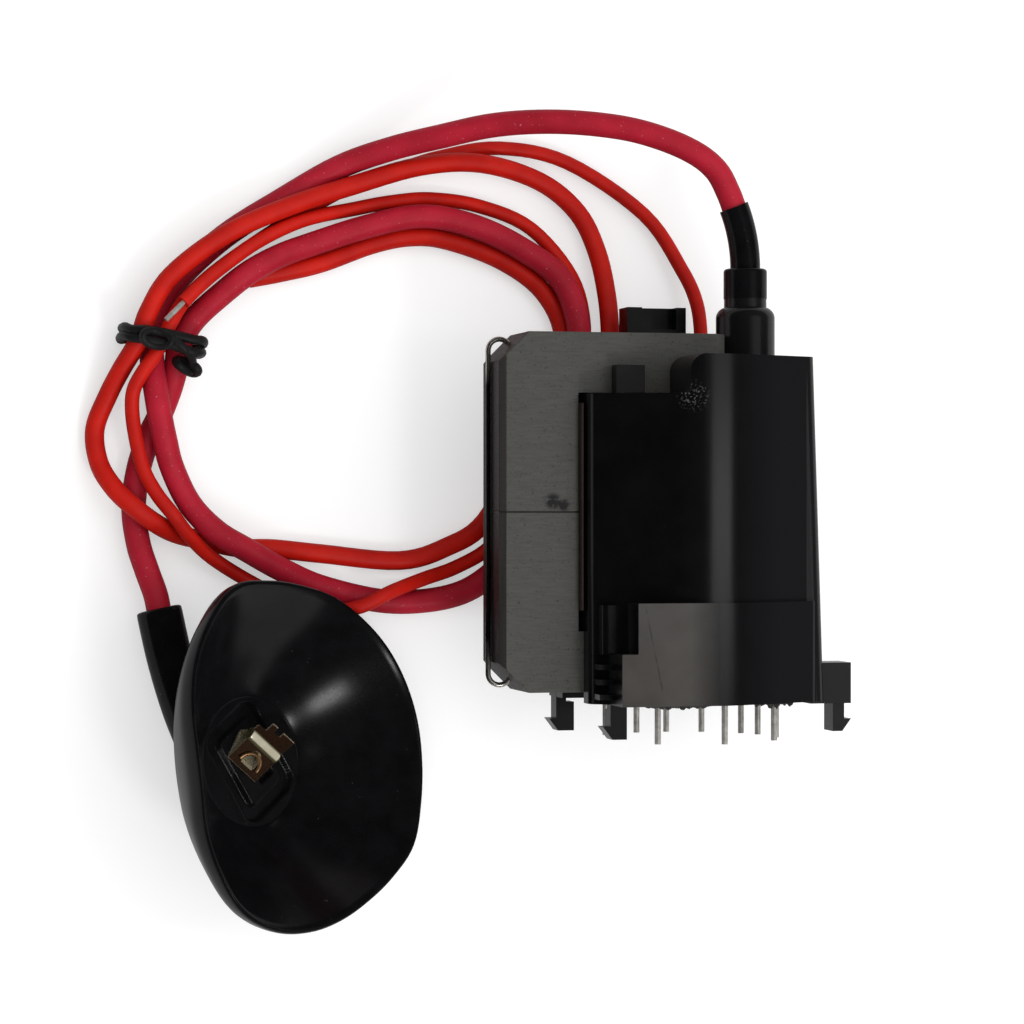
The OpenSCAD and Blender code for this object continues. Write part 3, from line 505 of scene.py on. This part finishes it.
CAP_R = 32
FLOOR_R = 12.5
CAP_DEPTH = 15.5
CAP_BACK = 7
REACH = CAP_R - FLOOR_R
CAP_INSIDE = [
    (FLOOR_R, -CAP_DEPTH), (FLOOR_R + 1, 0.8 - CAP_DEPTH), (FLOOR_R + 0.3 * REACH, -0.74 * CAP_DEPTH),
    (FLOOR_R + 0.62 * REACH, -0.42 * CAP_DEPTH), (CAP_R - 0.8, 0),
]
CAP_OUTSIDE = [
    (CAP_R - 0.3, 0.2), (CAP_R, -0.6), (CAP_R - 0.7, -0.24 * CAP_DEPTH),
    (FLOOR_R + 0.84 * REACH, -0.47 * CAP_DEPTH), (FLOOR_R + 0.68 * REACH, -0.7 * CAP_DEPTH),
    (FLOOR_R + 0.5 * REACH, -0.91 * CAP_DEPTH), (FLOOR_R + 0.28 * REACH, -CAP_DEPTH - 0.25 * CAP_BACK),
    (FLOOR_R + 0.5, -CAP_DEPTH - 0.6 * CAP_BACK), (FLOOR_R - 4, -CAP_DEPTH - 0.88 * CAP_BACK),
    (FLOOR_R - 8, -CAP_DEPTH - CAP_BACK),
]
CAP_SIDES = 144
INSIDE_STEPS = 5
OUTSIDE_STEPS = 4
FLOOR_RINGS = 62
FLOOR_START = 0.2

# How far the squashed rim stands out or in, at equal steps round it
RIM_PUSH = [
    -0.5, -0.5, -0.5, -0.5, 0, 0.5, 2, 4, 2.5, 0.5, -2, -4,
    -4, -2, 0, 2, 2, 1, 0, -0.5, 0, 1, 0, -0.5,
]
PUSH_POWER = 1.5

CAP_TILT = math.radians(35)
CAP_TURN = math.radians(12)
CAP_Z = max(r * math.sin(CAP_TILT) - h * math.cos(CAP_TILT) for r, h in CAP_OUTSIDE)
CAP_TURNED = Matrix.Rotation(CAP_TURN, 3, "Z") @ Matrix.Rotation(CAP_TILT, 3, "Y")
CAP_CENTRE = Vector((-71.9, -46.1, CAP_Z))

# Half sizes and corner radius of the island, of the groove round it and of the slot before the clip
ISLAND = (4.8, 7.5, 1.2)
GROOVE = (7.4, 10.1, 2.6)
SLOT = (2, 0.8, 0.4)
SLOT_AT = (1.6, -4.2)
ISLAND_TURN = math.radians(22)
GROOVE_DEPTH = 1.2
GROOVE_EDGE = 0.4
SLOT_EDGE = 0.3
GROOVE_LIMIT = 11.6
LIMIT_EDGE = 0.5
HAIR = 0.01


def box_distance(x, y, half_x, half_y, r):
    """Distance outside a rectangle with round corners, negative inside it."""
    dx, dy = abs(x) - half_x + r, abs(y) - half_y + r
    return math.hypot(max(dx, 0), max(dy, 0)) + min(max(dx, dy), 0) - r


def floor_height(x, y):
    """Height of the cup's floor, with a groove round the clip's island and a slot before the clip."""
    c, s = math.cos(ISLAND_TURN), math.sin(ISLAND_TURN)
    u, v = x * c + y * s, y * c - x * s
    groove = eased(box_distance(u, v, *ISLAND) / GROOVE_EDGE + 0.5)
    groove *= eased(0.5 - box_distance(u, v, *GROOVE) / GROOVE_EDGE)
    groove *= eased((GROOVE_LIMIT - math.hypot(x, y)) / LIMIT_EDGE)
    slot = eased(0.5 - box_distance(u - SLOT_AT[0], v - SLOT_AT[1], *SLOT) / SLOT_EDGE)
    return -GROOVE_DEPTH * max(groove, slot)


def cap_point(k, r, h):
    push = spline_at(RIM_PUSH, k * len(RIM_PUSH) / CAP_SIDES, True)
    push *= (max(0, r - FLOOR_R) / REACH) ** PUSH_POWER
    a = 2 * math.pi * k / CAP_SIDES
    if r < FLOOR_R - HAIR and h > -CAP_DEPTH - HAIR:
        h += floor_height(r * math.cos(a), r * math.sin(a))
    r += push
    return CAP_CENTRE + CAP_TURNED @ Vector((r * math.cos(a), r * math.sin(a), h))


def refine(profile, steps):
    line = []
    for i in range(len(profile) - 1):
        for j in range(steps):
            line.append([spline_at([q[axis] for q in profile], i + j / steps, False) for axis in (0, 1)])
    return line + [list(profile[-1])]


def build_cap():
    step = (FLOOR_R - FLOOR_START) / FLOOR_RINGS
    profile = [(FLOOR_START + step * i, -CAP_DEPTH) for i in range(FLOOR_RINGS)]
    profile += refine(CAP_INSIDE, INSIDE_STEPS) + refine(CAP_OUTSIDE, OUTSIDE_STEPS)
    rings = [[cap_point(k, r, h) for k in range(CAP_SIDES)] for r, h in profile]
    return add_piece("cap_shell", loft("cap_shell", rings), black_rubber, "black_rubber", "anode_cap")


cap_shell = build_cap()


# Rolled crest between the clip's two leaves: half sizes across, along and up, and its place

CLIP_TURN = math.radians(42)
CLIP_AT = (0.7, 2.6)
CREST_HALF = (1.35, 4.2, 1.1)
CREST_AT = (0.25, 3.35)
CREST_TAPER = 0.08
CREST_RINGS = 24
CREST_SIDES = 32


def on_island(u, v, w):
    """A place on the clip: across its fold, along it and up from the cup's floor."""
    turned = Matrix.Rotation(CLIP_TURN, 3, "Z") @ Vector((u, v, 0))
    return CAP_CENTRE + CAP_TURNED @ (turned + Vector((*CLIP_AT, w - CAP_DEPTH)))


def build_crest():
    half_u, half_v, half_w = CREST_HALF
    angles = [2 * math.pi * j / CREST_SIDES for j in range(CREST_SIDES)]
    rings = []
    for k in range(CREST_RINGS + 1):
        share = 2 * k / CREST_RINGS - 1
        size = 1 - CREST_TAPER * abs(share) ** 8
        rings.append([on_island(CREST_AT[0] + half_u * size * math.cos(a), half_v * share,
                                CREST_AT[1] + half_w * size * math.sin(a)) for a in angles])
    return add_piece("clip_crest", loft("clip_crest", rings), crest_metal_painted_highlight, "clip_metal")


clip_crest = build_crest()


# The cap's entry tube; its mouth is listed as depth into the tube and radius

TUBE_ROUTE = [(-97.6, -18.6, 5.8), (-95.6, -28, 6.6), (-93.2, -37, 9), (-90.6, -44.5, 12)]
TUBE_MOUTH = [(3, 2.45), (0.3, 2.45), (0.05, 2.7), (0, 3.3), (0.1, 4), (0.4, 4.35)]
TUBE_R = 4.4
TUBE_SIDES = 40
TUBE_STEPS = 8


def build_tube():
    path = smooth_path(TUBE_ROUTE, TUBE_STEPS)
    inward = (path[1] - path[0]).normalized()
    rings = [ring(path[0] + inward * depth, inward, radius, TUBE_SIDES) for depth, radius in TUBE_MOUTH]
    for i in range(1, len(path)):
        ahead = (path[min(i + 1, len(path) - 1)] - path[i - 1]).normalized()
        rings.append(ring(path[i], ahead, TUBE_R, TUBE_SIDES))
    return add_piece("cap_tube", loft("cap_tube", rings), black_rubber, "black_rubber", "anode_cap")


cap_tube = build_tube()


# Tie round the coil: two turns of covered wire that cross in a loop and end in a twist

TIE_MIDDLE = Vector((-97.1, 33, 0))
TIE_LEAN = Matrix.Rotation(math.radians(-11), 3, "Z")
TIE_HALF = (7.75, 5.15)
TIE_CENTRE = (0.15, 5.75)
TIE_TURNS = [(1, 0.25), (-0.9, -0.2)]
TIE_STEPS = 72
TIE_START = 0.02
TIE_R = 0.95
TIE_LOW_R = 0.55
UNDER_Z = 0.8
UNDER_FADE = 2.5
KNOT_AT = (-1.6, -0.2, 11.5)
KNOT_HALF = (2.8, 1.5, 0.4)
KNOT_TURNS = 1.15
KNOT_R = 0.75
TAIL_AT = (5.6, -4, 7.6)
TAIL_HALF = (2.3, 0.75, 0.7)
TAIL_TURNS = 1.1
TAIL_R = 0.9
TAIL_LEAN = (0.96, 0.26)
HOOK_ROUTE = [(1.4, 0.4, 11.4), (3.6, -0.8, 11.3), (5.6, -2, 10), (6.4, -3.2, 8.4)]


def squarer(value):
    """Takes a cosine or sine to a shape between an ellipse and a rectangle."""
    return math.copysign(abs(value) ** 0.5, value)


def tie_turn(shift, wave):
    """One turn, thinner where it runs under the leads; points with their radii."""
    line = []
    for k in range(TIE_STEPS + 1):
        share = k / TIE_STEPS
        a = 2 * math.pi * (share + TIE_START)
        y = shift + wave * math.sin(4 * math.pi * share) + 0.15 * math.sin(10 * math.pi * share)
        v = Vector((TIE_CENTRE[0] + squarer(math.cos(a)) * TIE_HALF[0], y,
                    TIE_CENTRE[1] + squarer(math.sin(a)) * TIE_HALF[1]))
        line.append((v, TIE_LOW_R + (TIE_R - TIE_LOW_R) * eased((v.z - UNDER_Z) / UNDER_FADE)))
    return line


def knot_place(a):
    """Round the small loop where the turns cross."""
    wave = Vector((math.cos(a), math.sin(a), math.cos(2 * a)))
    return Vector(KNOT_AT) + wave * Vector(KNOT_HALF)


def tail_place(a):
    """Round the twist at the end, which leans."""
    x, y = TAIL_HALF[0] * math.cos(a), TAIL_HALF[1] * math.sin(a)
    c, s = TAIL_LEAN
    return Vector(TAIL_AT) + Vector((c * x + s * y, c * y - s * x, TAIL_HALF[2] * math.sin(2 * a)))


def loop_line(place, turns, steps, radius):
    return [(place(2 * math.pi * turns * k / steps), radius) for k in range(steps + 1)]


def build_tie():
    lines = [tie_turn(*turn) for turn in TIE_TURNS]
    lines.append(loop_line(knot_place, KNOT_TURNS, 48, KNOT_R))
    lines.append([(v, TAIL_R) for v in smooth_path(HOOK_ROUTE, 6)])
    lines.append(loop_line(tail_place, TAIL_TURNS, 56, TAIL_R))
    placed = [[(TIE_MIDDLE + TIE_LEAN @ v, radius) for v, radius in line] for line in lines]
    return add_piece("tie_wire", wire_curve("tie_wire", placed, 4), tie_plastic, "tie_plastic", "twist_tie")


tie = build_tie()


# Leads: the routes start a short way out of the sleeve or the case

LEAD_OUT = 3
LEAD_STEPS = 6
OUTLET_H = 29
SLEEVE_START = (13.4, 47.1)
SLEEVE_BEND_R = 32
SLEEVE_ANGLE = math.radians(22)
SLEEVE_DIR = Vector((-math.sin(SLEEVE_ANGLE), math.cos(SLEEVE_ANGLE), 0))
SLEEVE_END = Vector((SLEEVE_START[0] - SLEEVE_BEND_R * (1 - math.cos(SLEEVE_ANGLE)),
                     SLEEVE_START[1] + SLEEVE_BEND_R * math.sin(SLEEVE_ANGLE), OUTLET_H))
TUBE_END = Vector(TUBE_ROUTE[0])
TUBE_DIR = (TUBE_END - Vector(TUBE_ROUTE[1])).normalized()
FOCUS_START = Vector((-7, 32, 5))
SCREEN_START = Vector((12, 32, 5))
OUT_Y = Vector((0, LEAD_OUT, 0))

ANODE_ROUTE = [
    (7.6, 66, 29), (3.5, 69.3, 28.6), (-3, 72.2, 27.4), (-11, 74.4, 25), (-22, 75.6, 21), (-33, 75.3, 16),
    (-43.5, 73.2, 11), (-52.5, 71, 7), (-62, 67.5, 4), (-73, 61, 2.6), (-84.5, 53.5, 2.5), (-94, 44.5, 2.7),
    (-98, 37.5, 3.5), (-98.6, 33, 3.7), (-98.7, 28, 5.1), (-98.3, 23.5, 6.9), (-97.7, 19, 7.9),
    (-96.6, 14, 7.3), (-95, 8.5, 6), (-91.5, 1.5, 5.5), (-86.5, -3.8, 6.7), (-80.5, -7.4, 6.8),
    (-73.5, -11.2, 5), (-65.5, -14.6, 2.7), (-54, -17.4, 2.5), (-45, -17.6, 2.5), (-37, -16, 2.5),
    (-31, -12.4, 2.7), (-26.6, -7.5, 3.8), (-23, 0, 5.2), (-18.5, 12, 6.2), (-15.5, 24, 6.2), (-13.6, 35, 6),
    (-17, 46, 5), (-26, 52.6, 5), (-36, 56.8, 5), (-46, 58.2, 5), (-57, 55.8, 4.9), (-68, 52.1, 4.5),
    (-74.4, 49.6, 5.7), (-80.4, 46.2, 6.5), (-86, 41.6, 5), (-89.8, 38, 3.7), (-92, 35, 3.7),
    (-93.4, 31.6, 3.7), (-93.9, 28, 3.2), (-94.9, 24, 2.5), (-96.6, 19.5, 2.5), (-99, 14.5, 2.5),
    (-101, 8.5, 2.5), (-102, 1, 2.5), (-101.2, -6, 3.2), (-99.8, -11, 4.6),
]
FOCUS_ROUTE = [
    (-7.4, 43, 4), (-9, 52, 2.4), (-13, 60, 2), (-21, 66, 2.4), (-33.5, 69, 4.6), (-46, 68, 5.6),
    (-60, 63.7, 6), (-71.8, 59.6, 7), (-84.8, 53.6, 7.3), (-95.2, 45.6, 7.4), (-99.8, 38.4, 8),
    (-101.6, 33, 7.3), (-104.6, 27.6, 5.4), (-107, 22.6, 3.4), (-109.4, 16, 2), (-108.8, 9.5, 3.4),
    (-106.2, 4.6, 6), (-102.4, 0.8, 7.5), (-98.2, -2.2, 6.4), (-94, -4.2, 3.6), (-89, -5.4, 2.1),
    (-81.5, -7, 2), (-74.5, -7.2, 2), (-65, -8.2, 2), (-49.5, -9.6, 2), (-40, -7, 2), (-32, -1.8, 2),
    (-24.5, 12, 2), (-19, 24, 2), (-16, 35, 2), (-20, 43.9, 2), (-28.5, 50, 2), (-39.5, 53.8, 2),
    (-47, 54.4, 2), (-55, 52.7, 2), (-65, 48.9, 2), (-73, 46.9, 1.9), (-79.4, 45.6, 1.9),
]
SCREEN_ROUTE = [
    (11.4, 42, 4), (8.6, 49, 2.6), (1, 60, 1.5), (-15, 70, 1.5), (-29, 72.5, 1.5), (-41, 70.4, 1.5),
    (-50, 67.4, 1.5), (-60.2, 63.6, 1.5), (-70.8, 57.4, 1.5), (-80.4, 51, 1.6), (-87.6, 45.6, 4.2),
    (-92.8, 40.6, 6.9), (-95.4, 36.6, 8), (-97.2, 33, 8.4), (-98.7, 30, 8.8), (-101, 26.8, 8.9),
    (-102.7, 23.2, 7.9), (-102.8, 19, 6.9), (-102, 13.5, 7), (-100.6, 8, 7.1), (-98.2, 3.5, 7.6),
    (-95.2, -0.4, 8.2), (-92, -4.4, 7), (-87, -8.9, 4.3), (-78.5, -14, 2), (-70, -18, 2.4),
    (-64, -19.4, 4.8), (-58, -18.4, 7), (-52, -15.6, 6.8), (-45, -13.2, 4), (-38, -11, 1.7), (-31, -7, 1.5),
    (-26, 0, 1.5), (-20.4, 12, 1.5), (-14.8, 24, 1.5), (-12.8, 30, 1.5), (-11.4, 37, 1.5), (-14, 47, 1.5),
    (-22.5, 56.6, 1.5), (-33, 60.8, 1.5), (-43, 62, 1.6), (-51, 61.2, 1.8), (-58.6, 59.6, 2.6),
    (-69, 57, 5.2), (-78, 52.7, 7.2), (-85.2, 47.6, 8.2), (-90, 43.6, 9.4), (-93.4, 40.2, 10.2),
]

# Name, points, diameter, finish, slot, solid that it stands for, far end, stiffness, pieces that it carries
LEADS = [
    ("anode_cable", [SLEEVE_END, SLEEVE_END + LEAD_OUT * SLEEVE_DIR] + ANODE_ROUTE
     + [TUBE_END + LEAD_OUT * TUBE_DIR, TUBE_END], 4.8, crimson, "crimson_insulation", "anode_lead",
     "connector", "medium",
     [cap_shell, cap_tube, nodes["anode_clip"], nodes["clip_spring"], clip_crest, tie]),
    ("focus_cable", [FOCUS_START, FOCUS_START + OUT_Y] + FOCUS_ROUTE, 3.8, orange, "orange_insulation",
     "focus_lead", "bare", "limp", [nodes["focus_lead_tip"]]),
    ("screen_cable", [SCREEN_START, SCREEN_START + OUT_Y] + SCREEN_ROUTE, 2.8, orange, "orange_insulation",
     "screen_lead", "bare", "limp", [nodes["screen_lead_tip"]]),
]
for name, points, diameter, finish, slot, node, far_end, stiffness, held in LEADS:
    path = smooth_path(points, LEAD_STEPS)
    lead = add_piece(name, wire_curve(name, [[(v, diameter / 2) for v in path]], 5), finish, slot, node)


# Camera, in metres

VIEW_TILT = math.radians(14)
VIEW_DISTANCE = 0.62
VIEW_X = -0.026
SENSOR_MM = 36
PICTURE_PIXELS = 1024
FOCAL_PIXELS = 3100

camera = bpy.data.objects.new("camera", bpy.data.cameras.new("camera"))
scene.collection.objects.link(camera)
camera.location = (VIEW_X - VIEW_DISTANCE * math.sin(VIEW_TILT), 0, VIEW_DISTANCE * math.cos(VIEW_TILT))
camera.rotation_euler = (0, -VIEW_TILT, 0)
camera.data.lens = SENSOR_MM * FOCAL_PIXELS / PICTURE_PIXELS
camera.data.clip_start = 0.01
scene.camera = camera


# Lamps, with the case and the cup as their targets

def area_light(name, place, target, size, power):
    lamp = bpy.data.lights.new(name, "AREA")
    lamp.shape = "RECTANGLE"
    lamp.size, lamp.size_y = size
    lamp.energy = power
    light = bpy.data.objects.new(name, lamp)
    light.location = place
    light.rotation_euler = (Vector(target) - Vector(place)).to_track_quat("-Z", "Y").to_euler()
    scene.collection.objects.link(light)


area_light("top", (0.42, 0, 0.85), (0, 0, 0), (0.08, 0.5), 0.5)
area_light("front", (0.18, -0.5, 0.75), (-0.07, -0.046, 0.02), (0.14, 0.14), 1.5)


# Floor, and a dark hood above the lamps which only reflections see

SQUARE = ((-1, -1), (1, -1), (1, 1), (-1, 1))
HOOD_REACH = 2.2
HOOD_Z = (0.28, 1.15)
TABLE_REACH = 4
TABLE_Z = -0.0002
TABLE_LIFT = 0.47


def stage_piece(name, points, faces, grey, roughness, specular):
    """A piece that belongs to the picture and not to the part."""
    mesh = bpy.data.meshes.new(name)
    mesh.from_pydata(points, [], faces)
    piece = bpy.data.objects.new(name, mesh)
    scene.collection.objects.link(piece)
    material, tree, shader = new_material(name + "_paint")
    shader.inputs["Base Color"].default_value = (grey, grey, grey, 1)
    shader.inputs["Roughness"].default_value = roughness
    shader.inputs["Specular IOR Level"].default_value = specular
    mesh.materials.append(material)
    return piece, tree, shader


hood_points = [(x * HOOD_REACH, y * HOOD_REACH, z) for z in HOOD_Z for x, y in SQUARE]
hood_faces = [(4, 5, 6, 7)] + [(k, (k + 1) % 4, (k + 1) % 4 + 4, k + 4) for k in range(4)]
hood, _, _ = stage_piece("hood", hood_points, hood_faces, 0.01, 1, 0)
hood.visible_camera = False
hood.visible_diffuse = False
hood.visible_shadow = False

floor_points = [(x * TABLE_REACH, y * TABLE_REACH, 0) for x, y in SQUARE]
floor, tree, shader = stage_piece("floor", floor_points, [(0, 1, 2, 3)], 0.6, 0.9, 0.1)
floor.location.z = TABLE_Z
rays = tree.nodes.new("ShaderNodeLightPath")
lift = remap(tree, rays.outputs["Is Camera Ray"], 0, 1, 0, TABLE_LIFT)
shader.inputs["Emission Color"].default_value = (1, 1, 1, 1)
tree.links.new(lift, shader.inputs["Emission Strength"])


# World: white where it is seen or mirrored, and a soft light from above and from the right

world = bpy.data.worlds.new("world")
scene.world = world
world.use_nodes = True
tree = world.node_tree
backdrop = tree.nodes["Background"]
backdrop.inputs["Color"].default_value = (1, 1, 1, 1)
rays = tree.nodes.new("ShaderNodeLightPath")
mirrored = combine(tree, "MAXIMUM", rays.outputs["Is Glossy Ray"], rays.outputs["Is Transmission Ray"])
seen = combine(tree, "MAXIMUM", rays.outputs["Is Camera Ray"], mirrored)
sky = tree.nodes.new("ShaderNodeTexCoord").outputs["Generated"]
sideways = remap(tree, along(tree, sky, "X"), -1, 1, 0.33, 1.4)
upward = remap(tree, along(tree, sky, "Z"), 0.1, 0.95, 0.3, 1.5)
level = tree.nodes.new("ShaderNodeMapRange")
level.inputs["To Max"].default_value = 1
tree.links.new(seen, level.inputs["Value"])
tree.links.new(both(tree, sideways, upward), level.inputs["To Min"])
tree.links.new(level.outputs["Result"], backdrop.inputs["Strength"])
